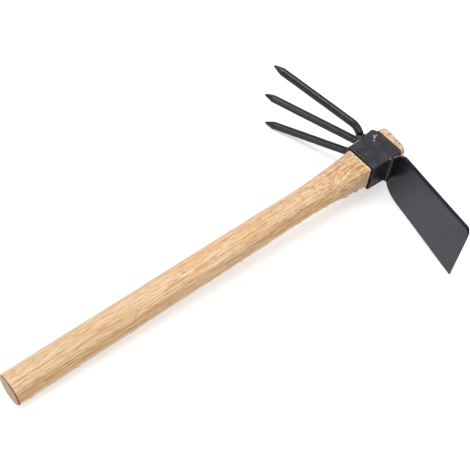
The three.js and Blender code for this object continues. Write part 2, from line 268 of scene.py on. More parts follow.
def stub_rings():
    slant = STUB_SLANT / (2 * (bore_half(EYE_LENGTH) - SEAT_GAP))
    rings = [handle_ring(EYE_LENGTH + STUB_START, spread=STUB_SPREAD * 0.3)]
    for step in STUB_STEPS:
        leaning = slant * step / STUB_SLANT_REACH
        rings.append(handle_ring(EYE_LENGTH + step, slant=leaning, spread=STUB_SPREAD))
    for turn in quarter_turn(7):
        inset = STUB_ROUNDING * (1 - math.cos(turn))
        back = STUB_ROUNDING * (1 - math.sin(turn)) * 0.8
        rings.append(handle_ring(EYE_LENGTH + STUB_LENGTH - back, inset, slant, STUB_SPREAD))
    return rings


# %% Loft the handle from the butt to the stub
GRIP_RINGS = 137
GRIP_STEP = 1.2
NECK_STEP = 1.1
TENON_STEPS = 12
stations = [BUTT + 3 + GRIP_STEP * i for i in range(GRIP_RINGS)]
neck_start = stations[-1]
stations += [neck_start + NECK_STEP * i for i in range(1, int(-neck_start / NECK_STEP) + 1)]
stations += [EYE_LENGTH * i / TENON_STEPS for i in range(TENON_STEPS + 1)]
handle_rings = butt_rings() + [handle_ring(x) for x in stations] + stub_rings()
handle = lofted("handle_wood", handle_rings, "handle")

# %% [markdown]
# ## The eye
#
# The eye is a short box of 2.4 mm steel plate with rounded corners. Its wall is one closed
# profile: front rim, outer face, back rim, inner face. Carrying a rounded rectangle round that
# profile makes the whole box in one go, rims and bore included. A cube with a bore cut by a
# boolean would be quicker, but it couldn't take dents. Welding and knocks have left marks on the
# eye's upper cheek: a low crater, some spatter, and a back corner on the fork's side that bulges
# and is knocked round at its tip.

# %% Sizes and marks of the eye
EYE_CORNER = 2.6
RIM_ROUNDING = 0.5
RIM_CHAMFER = 1.3
CHEEK = EYE_HALF_DEPTH - EYE_DROP
BULGE_PLACE = (32, 17, 12.5)
BULGE_SIZE = 10
BULGE_LENGTHENING = 1.5
BULGE_HEIGHT = 1.15
KNOCKED_CORNER = (EYE_LENGTH + 0.5, EYE_BACK_HALF + 1, CHEEK + 1)
KNOCK_SIZE = 6
KNOCK_DEPTH = 2.4
PLATE_WAVES = 9
PLATE_WAVE_HEIGHT = 0.16
# x, y, size and height of each mark on the upper cheek, in the tool's frame
CHEEK_MARKS = [
    (28.6, 11.2, 2.0, 0.55),
    (31.6, 13.2, 1.7, -0.35),
    (26.9, 12.9, 1.1, 0.3),
    (24.6, 8.4, 1.4, 0.5),
    (25.9, 6.4, 1.2, -0.4),
    (14.4, 4.2, 2.2, 0.12),
    (19.2, -3.0, 2.4, 0.14),
    (29.9, -4.6, 2.2, 0.14),
    (22.5, -15.2, 1.8, 0.35),
    (18.8, -16.0, 1.4, 0.3),
]
print(len(CHEEK_MARKS), "marks on the upper cheek")


# %% Shape the eye
def rounded_rectangle(half_width, half_depth, radius, per_corner=8, per_side=40):
    """Points of a rectangle with round corners, starting at the corner on the fork's side."""
    corners = ((1, 1), (-1, 1), (-1, -1), (1, -1))
    points = []
    for k, (side, face) in enumerate(corners):
        centre = Vector((side * (half_width - radius), face * (half_depth - radius)))
        for i in range(per_corner + 1):
            turn = math.pi / 2 * (k + i / per_corner)
            points.append(centre + radius * Vector((math.cos(turn), math.sin(turn))))
        side, face = corners[(k + 1) % 4]
        turn = math.pi / 2 * (k + 1)
        stop = Vector((side * (half_width - radius), face * (half_depth - radius)))
        stop += radius * Vector((math.cos(turn), math.sin(turn)))
        start = points[-1]
        points += [start.lerp(stop, i / per_side) for i in range(1, per_side)]
    return points


def eye_point(x, y, z, inset):
    """A point of the eye's wall with its dents and bulges added."""
    grow = eye_half(x) / EYE_FRONT_HALF
    y, z = y * grow, z - EYE_DROP
    if inset < EYE_WALL / 2:
        out = Vector((0, y / EYE_BACK_HALF, z / EYE_HALF_DEPTH))
        bulge_x, bulge_y, bulge_z = BULGE_PLACE
        from_bulge = math.hypot((x - bulge_x) / BULGE_LENGTHENING, y - bulge_y, z - bulge_z)
        x, y, z = Vector((x, y, z)) + out * (BULGE_HEIGHT * dome(from_bulge, BULGE_SIZE))
        x -= KNOCK_DEPTH * dome(math.dist((x, y, z), KNOCKED_CORNER), KNOCK_SIZE)
        on_cheek = eased(1 + (z - CHEEK) / EYE_CORNER)
        for mark_x, mark_y, size, height in CHEEK_MARKS:
            z += on_cheek * height * dome(math.hypot(x - mark_x, y - mark_y), size)
        y += wobble(x, y, z, PLATE_WAVES, PLATE_WAVE_HEIGHT, seed=4) * math.copysign(1, y)
        z += wobble(x, y, z, PLATE_WAVES, PLATE_WAVE_HEIGHT, seed=6) * math.copysign(1, z)
    return (x, y, z)


def eye_ring(x, inset):
    radius = max(EYE_CORNER - inset, 0.5)
    outline = rounded_rectangle(EYE_FRONT_HALF - inset, EYE_HALF_DEPTH - inset, radius)
    return [eye_point(x, y, z, inset) for y, z in outline]


def eye_profile(steps=44):
    """(x, depth below the outer face) round the wall, from the front rim's middle."""
    front = [(0, RIM_ROUNDING * 1.4)]
    for turn in reversed(quarter_turn(3)):
        front.append((RIM_ROUNDING * (1 - math.sin(turn)), RIM_ROUNDING * (1 - math.cos(turn))))
    last = EYE_LENGTH - RIM_ROUNDING
    outer = [(mix(RIM_ROUNDING, last, i / steps), 0) for i in range(1, steps)]
    back = [(EYE_LENGTH - x, inset) for x, inset in reversed(front)]
    inner = [
        (EYE_LENGTH, EYE_WALL - RIM_CHAMFER),
        (EYE_LENGTH - RIM_CHAMFER, EYE_WALL),
        (EYE_LENGTH / 2, EYE_WALL),
        (RIM_CHAMFER, EYE_WALL),
        (0, EYE_WALL - RIM_CHAMFER),
    ]
    return front + outer + back + inner


eye_rings = [eye_ring(x, inset) for x, inset in eye_profile()]
eye = lofted("eye_box", eye_rings, "eye", closed_loop=True)

# %% [markdown]
# ## Two seats on the eye
#
# The blade and the fork spring from opposite sides of the eye, each tilted back towards the grip.
# A seat is a small frame of its own: its X runs out along the piece, its Y is the tool's Z, and
# its Z completes the three. Shapes made on a seat are written as plainly as if they were flat.

# %% Seats for the blade and the fork
BLADE_TILT = math.radians(10.8)
FORK_TILT = math.radians(17.4)
BLADE_ROOT_SHARE = 0.654
FORK_ROOT_SHARE = 0.691
UP = Vector((0, 0, 1))


def seat_on(side, x, tilt):
    """A frame on the eye's side at x, leaning towards the grip by tilt."""
    out = Vector((-math.sin(tilt), side * math.cos(tilt), 0))
    seat = Matrix((out, UP, out.cross(UP))).transposed().to_4x4()
    seat.translation = Vector((x, side * eye_half(x), 0))
    return seat


blade_seat = seat_on(-1, BLADE_ROOT_SHARE * EYE_LENGTH, BLADE_TILT)
fork_seat = seat_on(1, FORK_ROOT_SHARE * EYE_LENGTH, FORK_TILT)
print("the blade springs from", [round(v, 1) for v in blade_seat.translation])
print("the fork springs from", [round(v, 1) for v in fork_seat.translation])


def on_seat(seat, rings):
    """Rings made on a seat, in the tool's frame."""
    return [[seat @ Vector(p) for p in ring] for ring in rings]


# %% [markdown]
# ## The blade
#
# The blade is a flat plate, a little wider at its cutting edge, with round shoulders where it
# narrows to the eye. It is lofted from the root to the edge in thin slices, each slice a long
# rectangle with softened edges, so one rule for the half widths gives the whole outline. A
# thickened outline would be simpler, but dead flat: slices let the plate bow a little. The last
# few millimetres are ground thin from the hidden face.

# %% Sizes and outline of the blade
BLADE_LENGTH = 110.3
BLADE_EDGE_HALF = 33.3
BLADE_ROOT_HALF = 27.75
BLADE_THICKNESS = 3.6
GRIND_LENGTH = 7
EDGE_THICKNESS = 0.7
UPPER_SHOULDER = 15
LOWER_SHOULDER = 26
UPPER_CORNER = 7.4
LOWER_CORNER = 1.2
BLADE_SINK = 1.2
EDGE_SOFTNESS = 0.8


def straight_half(u):
    return mix(BLADE_ROOT_HALF, BLADE_EDGE_HALF, u / BLADE_LENGTH)


def bent(a, b, c, steps):
    """Points on the curve that leaves a towards b and reaches c."""
    a, b, c = Vector(a), Vector(b), Vector(c)
    return [a.lerp(b, i / steps).lerp(b.lerp(c, i / steps), i / steps) for i in range(steps + 1)]


def end_corner(radius):
    """A round corner at the end of the cutting edge."""
    start = BLADE_LENGTH - radius
    tip = (BLADE_LENGTH, BLADE_EDGE_HALF)
    return bent((start, straight_half(start)), tip, (BLADE_LENGTH, BLADE_EDGE_HALF - radius), 16)


root_top = EYE_HALF_DEPTH - EYE_DROP
root_bottom = EYE_HALF_DEPTH + EYE_DROP
upper_far = straight_half(UPPER_SHOULDER)
lower_far = straight_half(LOWER_SHOULDER)
# where the shoulders' curves start and turn, as shares of their reach and of their rise
slope_end = (0.4 * UPPER_SHOULDER, mix(root_top, upper_far, 0.6))
upper_turn = (0.62 * UPPER_SHOULDER, mix(root_top, upper_far, 0.96))
lower_turn = (0.3 * LOWER_SHOULDER, mix(root_bottom, lower_far, 0.97))
upper_line = [Vector((-BLADE_SINK, root_top)), Vector((0, root_top))]
upper_line += bent(slope_end, upper_turn, (UPPER_SHOULDER, upper_far), 12)
upper_line += end_corner(UPPER_CORNER)
lower_line = [Vector((-BLADE_SINK, root_bottom)), Vector((0, root_bottom))]
lower_line += bent((0, root_bottom), lower_turn, (LOWER_SHOULDER, lower_far), 20)[1:]
lower_line += end_corner(LOWER_CORNER)
print("the blade's outline has", len(upper_line) + len(lower_line), "points")


# %% Shape the blade
def height_at(line, u):
    """The height of a line of (u, height) points at u."""
    for a, b in zip(line, line[1:]):
        if a.x <= u <= b.x:
            return mix(a.y, b.y, (u - a.x) / max(b.x - a.x, 1e-6))
    return line[-1].y


def slice_outline(top, bottom, thickness, across=30):
    """(height, depth) points round one slice of the plate, with softened edges."""
    r = min(EDGE_SOFTNESS, thickness * 0.45)
    arc = [(r * (1 - math.sin(turn)), r * (1 - math.cos(turn))) for turn in quarter_turn(3)]
    face = [mix(-bottom + r, top - r, i / across) for i in range(1, across)]
    points = [(h, 0) for h in face]
    points += [(top - a, -b) for a, b in arc]
    points += [(top - b, a - thickness) for a, b in arc]
    points += [(h, -thickness) for h in reversed(face)]
    points += [(a - bottom, b - thickness) for a, b in arc]
    points += [(b - bottom, -a) for a, b in arc]
    return points


def blade_slices():
    stations = [-BLADE_SINK, 0] + [0.6 * i for i in range(1, 50)]
    stations += [30 + 2.4 * i for i in range(31)]
    stations += [BLADE_LENGTH - UPPER_CORNER * math.cos(turn) for turn in quarter_turn(24)]
    slices = []
    for u in sorted(stations):
        ground = eased(max(0, (u - BLADE_LENGTH + GRIND_LENGTH) / GRIND_LENGTH) / 2) * 2
        thickness = mix(BLADE_THICKNESS, EDGE_THICKNESS, min(1, ground))
        ring = []
        for h, depth in slice_outline(height_at(upper_line, u), height_at(lower_line, u), thickness):
            bow = wobble(u, h, 0, 45, 0.3, seed=9) + wobble(u, h, 0, 9, 0.06, seed=11)
            ring.append((u, h, depth + bow))
        slices.append(ring)
    return slices


blade = lofted("blade_plate", on_seat(blade_seat, blade_slices()), "blade")

# %% [markdown]
# ## The fork
#
# Three 8 mm rods leave one root on the eye. The centre one is straight, the side ones bend
# outwards once, and each is hammered to a blunt pencil point, which leaves faint flats. Each rod
# is a ring carried along its centre line. A curve with a round bevel would draw a rod too, but
# without the flats, and without the slight unevenness that the mill's scale gives its surface.

# %% Sizes of the tines
ROD_RADIUS = 4
POINT_LENGTH = 9
TIP_RADIUS = 1.2
POINT_FLATS = 5
FLAT_DEPTH = 0.1
ROD_SIDES = 40
BEND_RADIUS = 15
# the root, the bend of the side rods and the tip of each rod's centre line, on the fork's seat
TINES = {
    "centre_tine": [(-1.5, 0, 0), (110.9, -1.4, 0)],
    "upper_side_tine": [(0, 0, 0), (10.6, 18.4, 0), (106, 40.6, 0)],
    "lower_side_tine": [(0, 0, 0), (10.6, -19.5, 0), (106, -38.7, 0)],
}
print("the fork has", len(TINES), "tines")


# %% Shape the tines
def rod_line(corners, step=1.4):
    """Points along a rod's centre line, with one round bend if it has three corners."""
    corners = [Vector(p) for p in corners]
    if len(corners) == 2:
        start, line = corners[0], []
    else:
        root, bend, tip = corners
        inward, outward = (root - bend).normalized(), (tip - bend).normalized()
        tangent = BEND_RADIUS * math.tan((math.pi - inward.angle(outward)) / 2)
        tangent = min(tangent, (root - bend).length - ROD_RADIUS)
        near, start = bend + inward * tangent, bend + outward * tangent
        line = [root.lerp(near, i / 8) for i in range(8)] + bent(near, bend, start, 14)[:-1]
    length = (corners[-1] - start).length
    count = int((length - POINT_LENGTH) / step)
    ahead = (corners[-1] - start).normalized()
    line += [start + ahead * ((length - POINT_LENGTH) * i / count) for i in range(count)]
    return line + [corners[-1] - ahead * (POINT_LENGTH * (1 - i / 12)) for i in range(13)]


def rod_rings(line, seed):
    """Rings round a centre line that narrow to a blunt point at its end."""
    rings = []
    run = [0]
    for a, b in zip(line, line[1:]):
        run.append(run[-1] + (b - a).length)
    for i, p in enumerate(line):
        ahead = (line[min(i + 1, len(line) - 1)] - line[max(i - 1, 0)]).normalized()
        across = ahead.cross(UP)
        left = run[-1] - run[i]
        taper = min(1, left / POINT_LENGTH) ** 0.9
        radius = mix(TIP_RADIUS, ROD_RADIUS, taper)
        flats = FLAT_DEPTH * (1 - taper) * eased(left / 2)
        ring = []
        for j in range(ROD_SIDES):
            turn = 2 * math.pi * j / ROD_SIDES
            normal = across * math.cos(turn) + UP * math.sin(turn)
            q = p + normal * radius
            size = 1 + flats * math.cos(POINT_FLATS * turn + seed)
            size += wobble(*q, 7, 0.022, seed) + wobble(*q, 2.2, 0.006, seed)
            ring.append(p + normal * radius * size)
        rings.append(ring)
    tip, last = line[-1], rings[-1]
    for share in (0.35, 0.7, 0.92):
        narrow = math.sqrt(1 - share**2)
        rings.append([tip + (q - tip) * narrow + ahead * (TIP_RADIUS * 0.6 * share) for q in last])
    return rings


tines = []
for number, (node, corners) in enumerate(TINES.items()):
    rings = on_seat(fork_seat, rod_rings(rod_line(corners), number + 1))
    tines.append(lofted(node + "_rod", rings, node))

# %% [markdown]
# ## The weld beads
#
# Stick welding leaves a bead that looks like a row of overlapping coins, thick and thin by turns.
# A bead is again a ring carried along a line, but its radius swells at every coin, and noise
# roughens the whole. Bump in the material would be lighter, but it wouldn't break the outline.
# Two short runs more close the tops of the joints, a fillet fills the root between the tines,
# and drops of spatter lie round them.

# %% Make one bead
BEAD_SIDES = 24
BEAD_STEP = 0.35
BEAD_WANDER = 0.7
BEAD_UNEVENNESS = 0.35
COIN_LOW = 0.84
COIN_RISE = 0.22
CAP_STEPS = 5


def bead(name, start, stop, radius, seed, node=None, pitch=2.4, rough=0.5):
    """A bead from start to stop, with one coin to every pitch and a round cap at each end."""
    start, stop = Vector(start), Vector(stop)
    length = (stop - start).length
    ahead = (stop - start).normalized()
    side_a = ahead.orthogonal().normalized()
    side_b = ahead.cross(side_a)
    count = int(length / BEAD_STEP)
    rings = []
    for i in range(-CAP_STEPS, count + CAP_STEPS + 1):
        share = min(max(i / count, 0), 1)
        end_turn = max(0, -i, i - count) / CAP_STEPS * math.pi / 2
        run = share * length
        middle = start.lerp(stop, share)
        middle += side_a * wobble(run, 0, 0, 3, BEAD_WANDER, seed + 9)
        middle += side_b * wobble(run, 0, 0, 3, BEAD_WANDER, seed + 11)
        middle += ahead * (math.copysign(radius * 0.8, i - count / 2) * math.sin(end_turn))
        coin = abs(math.sin(math.pi * run / pitch))
        size = radius * (COIN_LOW + COIN_RISE * coin) * math.cos(end_turn * 0.98)
        size *= 1 + wobble(run, 0, 0, 5, BEAD_UNEVENNESS, seed)
        ring = []
        for j in range(BEAD_SIDES):
            turn = 2 * math.pi * j / BEAD_SIDES
            normal = side_a * math.cos(turn) + side_b * math.sin(turn)
            q = middle + normal * size
            lift = wobble(*q, 1.5, rough, seed + 3) + wobble(*q, 0.6, rough * 0.35, seed + 5)
            ring.append(q + normal * lift)
        rings.append(ring)
    return lofted(name, rings, node)


# %% Lay the beads
BLADE_BEAD_HALF = 14
BACK_BEAD_HALF = 7
FRONT_BEAD_HALF = 11.5
BLADE_BEAD = 2.5
FORK_BEAD = 2.3


def upright_run(seat, u, depth, half, middle=0.0):
    """Two ends of a bead that stands upright on a seat."""
    return seat @ Vector((u, middle - half, depth)), seat @ Vector((u, middle + half, depth))


inner_run = upright_run(blade_seat, 0.7, 0.7, BLADE_BEAD_HALF, -EYE_DROP / 2)
outer_run = upright_run(blade_seat, 0.9, -3.9, BLADE_BEAD_HALF, -EYE_DROP / 2)
back_run = upright_run(fork_seat, 1.2, 4.2, BACK_BEAD_HALF)
front_run = upright_run(fork_seat, 1.0, -4.2, FRONT_BEAD_HALF)
blade_top_run = blade_seat @ Vector((0.2, 14.8, -0.8)), blade_seat @ Vector((5.6, 22.6, -1.6))
fork_top_run = (16.5, 19.2, 12.0), (25.2, 19.4, 11.4)
root_run = (22.4, 21.6, -6.5), (22.6, 21.8, 9.5)
beads = [
    bead("blade_weld_inner_bead", *inner_run, BLADE_BEAD, 20, "blade_weld_inner"),
    bead("blade_weld_outer_bead", *outer_run, BLADE_BEAD, 21, "blade_weld_outer"),
    bead("fork_weld_back_bead", *back_run, FORK_BEAD, 22, "fork_weld_back"),
    bead("fork_weld_front_bead", *front_run, FORK_BEAD, 23, "fork_weld_front"),
    bead("blade_weld_top_run", *blade_top_run, 1.0, 24, pitch=1.9, rough=0.4),
    bead("fork_weld_top_run", *fork_top_run, 1.5, 25, pitch=2.0, rough=0.6),
    bead("fork_root_fillet", *root_run, 2.2, 26, pitch=2.6, rough=0.7),
]


# %% Drops of spatter
DROP_RINGS = 10
DROP_SIDES = 14
DROP_FLATNESS = 0.7


def spatter_drop(name, place, size, seed):
    """A flattened drop of weld metal, sunk to its middle in the steel."""
    place = Vector(place)
    rings = []
    for i in range(1, DROP_RINGS):
        tilt = math.pi * i / DROP_RINGS
        ring = []
        for j in range(DROP_SIDES):
            turn = 2 * math.pi * j / DROP_SIDES
            flat = Vector((math.cos(turn), math.sin(turn), 0)) * math.sin(tilt)
            q = flat + UP * math.cos(tilt) * DROP_FLATNESS
            ring.append(place + q * size * (1 + wobble(*(q + place), 0.7, 0.4, seed)))
        rings.append(ring)
    return lofted(name, rings)


# the place of each drop in the tool's frame, and its radius
SPATTER = [
    ((21.6, -17.5, CHEEK - 0.4), 1.3),
    ((22.0, -18.5, 11.4), 1.1),
    ((22.6, 20.2, 12.0), 1.1),
    ((18.6, 19.9, 12.4), 1.4),
    ((20.4, 21.4, 11.6), 1.6),
    ((16.4, 19.0, 11.2), 1.2),
    ((21.2, -18.4, 8.2), 1.2),
    ((24.4, -18.9, 5.2), 1.0),
    ((17.6, -17.9, 12.2), 0.8),
    ((27.8, 19.4, 10.2), 0.9),
    ((20.2, -18.3, 11.2), 1.0),
    ((20.6, -18.3, 4.6), 1.1),
    ((20.0, -18.3, 0.4), 1.0),
]
drops = []
for i, (spot, size) in enumerate(SPATTER):
    drops.append(spatter_drop(f"weld_spatter_{i + 1}", spot, size, i))

# %% [markdown]
# ## The wedge
#
# The steel wedge is all but hidden in the handle's end grain. The CAD solid already has its
# shape, so it only needs softened edges: a bevel modifier rounds them without touching the mesh.

# %% Soften the wedge
wedge = frame["nodes"]["wedge"]
soften = wedge.modifiers.new("softened edges", "BEVEL")
soften.width = 0.25 * MM
soften.segments = 2
print("the wedge keeps its", len(wedge.data.vertices), "points")

# %% [markdown]
# ## Finishes
#
# Every finish is made of nodes that read the piece's own place, turned back into the tool's frame
# and measured in millimetres, so that grain runs along the handle and stays put in every view.
# The helpers below keep the recipes short: sums, a noise, a fade, a ramp, and a finish that lays
# one colour over another.

# %% Helpers for shader nodes
WHITE = (1.0, 1.0, 1.0)


class Nodes:
    """A node tree, and the few kinds of node that these finishes are made of."""

    def __init__(self, tree):
        self.tree = tree

    def node(self, kind, inputs=None, **settings):
        made = self.tree.nodes.new(kind)
        for key, value in settings.items():
            setattr(made, key, value)
        for key, value in (inputs or {}).items():
            self.feed(made.inputs[key], value)
        return made

    def feed(self, socket, value):
        """Link a socket to another one, or set it to a number or a colour."""
        if isinstance(value, bpy.types.NodeSocket):
            self.tree.links.new(value, socket)
        elif socket.type == "RGBA":
            socket.default_value = (*value, 1)
        else:
            socket.default_value = value

    def maths(self, operation, *values):
        inputs = dict(enumerate(values))
        return self.node("ShaderNodeMath", inputs, operation=operation).outputs[0]

    def times(self, a, b):
        return self.maths("MULTIPLY", a, b)

    def times_plus(self, value, factor, extra):
        return self.maths("MULTIPLY_ADD", value, factor, extra)

    def vectors(self, operation, *vectors):
        """A vector made from vectors."""
        inputs = dict(enumerate(vectors))
        return self.node("ShaderNodeVectorMath", inputs, operation=operation).outputs["Vector"]

    def measure(self, operation, *vectors):
        """A number measured on vectors."""
        inputs = dict(enumerate(vectors))
        return self.node("ShaderNodeVectorMath", inputs, operation=operation).outputs["Value"]

    def parts(self, vector):
        return self.node("ShaderNodeSeparateXYZ", {0: vector}).outputs

    def place(self):
        """The place on the piece, in millimetres in the tool's frame."""
        inputs = {
            "Vector": self.node("ShaderNodeTexCoord").outputs["Object"],
            "Location": tool.translation,
            "Rotation": tool.to_euler(),
            "Scale": (MM, MM, MM),
        }
        return self.node("ShaderNodeMapping", inputs, vector_type="TEXTURE").outputs[0]

    def noise(self, place, per_mm, detail, roughness=0.5, output="Fac"):
        """Soft chance lumps, so many to the millimetre along X, Y and Z."""
        inputs = {
            "Vector": self.vectors("MULTIPLY", place, per_mm),
            "Scale": 1.0,
            "Detail": detail,
            "Roughness": roughness,
        }
        return self.node("ShaderNodeTexNoise", inputs).outputs[output]

    def layers(self, height, per_mm, detail):
        """The same along a single height, for sheets that lie square to it."""
        inputs = {"W": self.times(height, per_mm), "Scale": 1.0, "Detail": detail}
        return self.node("ShaderNodeTexNoise", inputs, noise_dimensions="1D").outputs["Fac"]

    def fade(self, value, start, stop, low=0.0, high=1.0):
        """low before start, high after stop, smooth between."""
        inputs = {0: value, 1: start, 2: stop, 3: low, 4: high}
        return self.node("ShaderNodeMapRange", inputs, interpolation_type="SMOOTHSTEP").outputs[0]

    def ramp(self, value, stops):
        """Colours at places from 0 to 1, smooth between."""
        made = self.node("ShaderNodeValToRGB", {0: value})
        steps = made.color_ramp.elements
        while len(steps) < len(stops):
            steps.new(0.5)
        for step, (where, colour) in zip(steps, stops):
            step.position = where
            step.color = (*colour, 1)
        return made.outputs[0]

    def shown(self):
        """1 to the camera, to reflections and to what shines through, and 0 to other light."""
        rays = self.node("ShaderNodeLightPath").outputs
        indirect = self.maths("MAXIMUM", rays["Is Glossy Ray"], rays["Is Transmission Ray"])
        return self.maths("MAXIMUM", rays["Is Camera Ray"], indirect)


class Finish(Nodes):
    """A material whose colour is laid on in steps."""

    def __init__(self, name):
        self.material = bpy.data.materials.new(name)
        self.material.use_nodes = True
        super().__init__(self.material.node_tree)
        self.shader = self.tree.nodes["Principled BSDF"]

    def set(self, name, value):
        self.feed(self.shader.inputs[name], value)

    def start(self, tone):
        self.tone = tone
        self.set("Base Color", tone)

    def lay(self, colour, *shares, kind="MIX"):
        """Lay a colour over what is there, by the product of its shares."""
        share = shares[0]
        for other in shares[1:]:
            share = self.times(share, other)
        inputs = {0: share, 6: self.tone, 7: colour}
        self.start(self.node("ShaderNodeMix", inputs, data_type="RGBA", blend_type=kind).outputs[2])

    def relief(self, height, depth_mm, strength, over=None):
        inputs = {"Height": height, "Strength": strength, "Distance": depth_mm * MM}
        if over:
            inputs["Normal"] = over
        return self.node("ShaderNodeBump", inputs).outputs[0]


# %% [markdown]
# ## Pale wood
#
# The handle is a straight-grained pale hardwood under thin varnish. A tree's growth layers cross
# the handle: where they lie flat to the surface they show as broad tones, and where they meet it
# steeply they show as fine lines, so one height through the layers drives both. Short brown pores
# and orange flecks follow the grain, and a darker band runs along the lower side. Every step lays
# one colour over the last by a share that noise breaks up, and a noise that changes slowly along
# X makes long streaks. A photographed wood texture would be quicker, but it wouldn't run through
# the stub and into the end grain.

# %% Colours and directions of the wood
STRAW = (0.865, 0.68, 0.43)
PINK = (0.87, 0.65, 0.475)
CREAM = (0.89, 0.755, 0.56)
HONEY = (0.82, 0.58, 0.29)
AMBER = (1.0, 0.77, 0.47)
OCHRE = (0.56, 0.315, 0.10)
RUSSET = (0.55, 0.29, 0.11)
TAWNY = (0.66, 0.4, 0.19)
FLECK = (0.46, 0.24, 0.11)
PORE = (0.36, 0.17, 0.06)
BLUSH = (0.73, 0.425, 0.21)
FIBRE = (0.76, 0.58, 0.41)
MOTTLE = (0.95, 0.86, 0.77)
# painted shade for the handle's top side
TOP_SHADE = (0.74, 0.63, 0.49)
HANDLED = (0.66, 0.57, 0.42)
# painted sheen of floor light for the handle's underside
FLOOR_SHEEN = (0.68, 0.58, 0.5)
# painted highlight on the wood next to the eye's front rim
RIM_HIGHLIGHT = (0.88, 0.72, 0.6)
BRUISED = (0.58, 0.44, 0.37)
BUTT_RING = (0.13, 0.05, 0.028)
# painted shade for the gaps at the eye's rims
EYE_GAP_SHADE = (0.035, 0.018, 0.01)
END_GRAIN_DARK = (0.37, 0.23, 0.135)
END_GRAIN_LIGHT = (0.53, 0.365, 0.245)
STUB_LINE = (0.4, 0.23, 0.11)
STUB_BLOTCH = (0.5, 0.31, 0.16)
# directions in the tool's frame
LAYER_RISE = (0.006, -0.44, 0.9)
BAND_SIDE = (0, -0.93, 0.37)
TOP_SIDE = (0, 0.88, 0.47)
FLOOR_SIDE = (0, -0.97, -0.25)
BRUISED_SIDE = (0, -0.83, -0.56)
RING_SIDE = (0, 0.5, 0.87)
SWAY = (0, 1.6, 1.6)

# %% The grain and its growth layers
wood = Finish("pale wood")
place = wood.place()
x, y, z = wood.parts(place)
chance_sway = wood.noise(place, (0.009, 0.035, 0.035), 2, output="Color")
sway = wood.vectors("MULTIPLY", wood.vectors("ADD", chance_sway, (-0.5, -0.5, -0.5)), SWAY)
grain = wood.vectors("ADD", place, sway)
height = wood.measure("DOT_PRODUCT", grain, LAYER_RISE)

broad = wood.noise(grain, (0.008, 0.16, 0.16), 3, 0.55)
wood.start(wood.ramp(broad, [(0.3, HONEY), (0.42, STRAW), (0.54, PINK), (0.66, CREAM)]))
wood.lay(HONEY, wood.fade(wood.layers(height, 0.3, 2), 0.5, 0.66, 0, 0.3))
fine_layers = wood.layers(height, 1.5, 3)
breaks = wood.noise(grain, (0.02, 0.4, 0.4), 2)
wood.lay(OCHRE, wood.fade(fine_layers, 0.54, 0.66, 0, 0.55), wood.fade(breaks, 0.35, 0.6, 0.15, 1))
towards_butt = wood.fade(x, -190, BUTT + 30)
wood.lay(HANDLED, towards_butt, 0.3)

# %% The darker band along the lower side, and the lines above and below it
outwards = wood.vectors("NORMALIZE", wood.node("ShaderNodeCombineXYZ", {1: y, 2: z}).outputs[0])


def towards(side):
    """1 where the wood faces a side squarely, less elsewhere."""
    return wood.measure("DOT_PRODUCT", outwards, side)


towards_band = wood.maths("ADD", towards(BAND_SIDE), wood.times_plus(breaks, 0.14, -0.07))
band_share = wood.times(wood.fade(towards_band, 0.91, 0.985), wood.fade(x, -80, -40, 1, 0.2))
streaks = wood.noise(grain, (0.014, 1.0, 1.0), 3, 0.6)
wood.lay(OCHRE, band_share, wood.fade(streaks, 0.42, 0.62, 0.05, 0.6))
long_lines = wood.noise(grain, (0.01, 1.5, 1.5), 3, 0.65)
wood.lay(RUSSET, wood.fade(long_lines, 0.53, 0.62), wood.times_plus(towards_butt, 0.2, 0.62))
threads = wood.noise(grain, (0.025, 1.9, 1.9), 2, 0.6)
thread_share = wood.times(wood.fade(towards_band, 0.87, 0.96), wood.fade(threads, 0.53, 0.61, 0, 0.8))
wood.lay(FLECK, thread_share, wood.fade(x, -50, -25, 1, 0.3))
# orange streaks on the top side, laid thicker there partly as painted shade where the lamp lights most
wood.lay(TAWNY, wood.fade(towards(TOP_SIDE), 0.88, 0.97), wood.fade(threads, 0.42, 0.56, 0.1, 0.6))
# a greyish painted sheen where the wood faces the floor
towards_floor = wood.times_plus(breaks, 0.04, towards(FLOOR_SIDE))
wood.lay(FLOOR_SHEEN, wood.fade(towards_floor, 0.975, 0.99, 0, 0.4))

# %% Flecks, pores and the browner neck
neck = wood.fade(x, -110, -20)
wood.lay(AMBER, neck, 0.4)
specks = wood.noise(place, (0.3, 0.85, 0.85), 3, 0.6)
wood.lay(FLECK, wood.fade(x, -60, -10), wood.fade(specks, 0.54, 0.61, 0, 0.65))
neck_streaks = wood.noise(grain, (0.045, 0.4, 0.4), 4, 0.65)
wood.lay(OCHRE, neck, wood.fade(neck_streaks, 0.5, 0.64, 0, 0.45))
flecks = wood.noise(grain, (0.12, 0.8, 0.8), 3, 0.65)
fleck_rise = wood.maths("SUBTRACT", flecks, wood.times_plus(neck, -0.055, 0.575))
fleck_share = wood.times(wood.fade(fleck_rise, 0, 0.07, 0, 0.9), wood.times_plus(neck, 0.55, 0.45))
wood.lay(FLECK, fleck_share)
pores = wood.noise(grain, (0.14, 1.3, 1.3), 2, 0.6)
pore_rise = wood.maths("SUBTRACT", pores, wood.times_plus(neck, -0.02, 0.585))
pore_share = wood.fade(pore_rise, 0, 0.08, 0, 0.65)
wood.lay(PORE, pore_share)
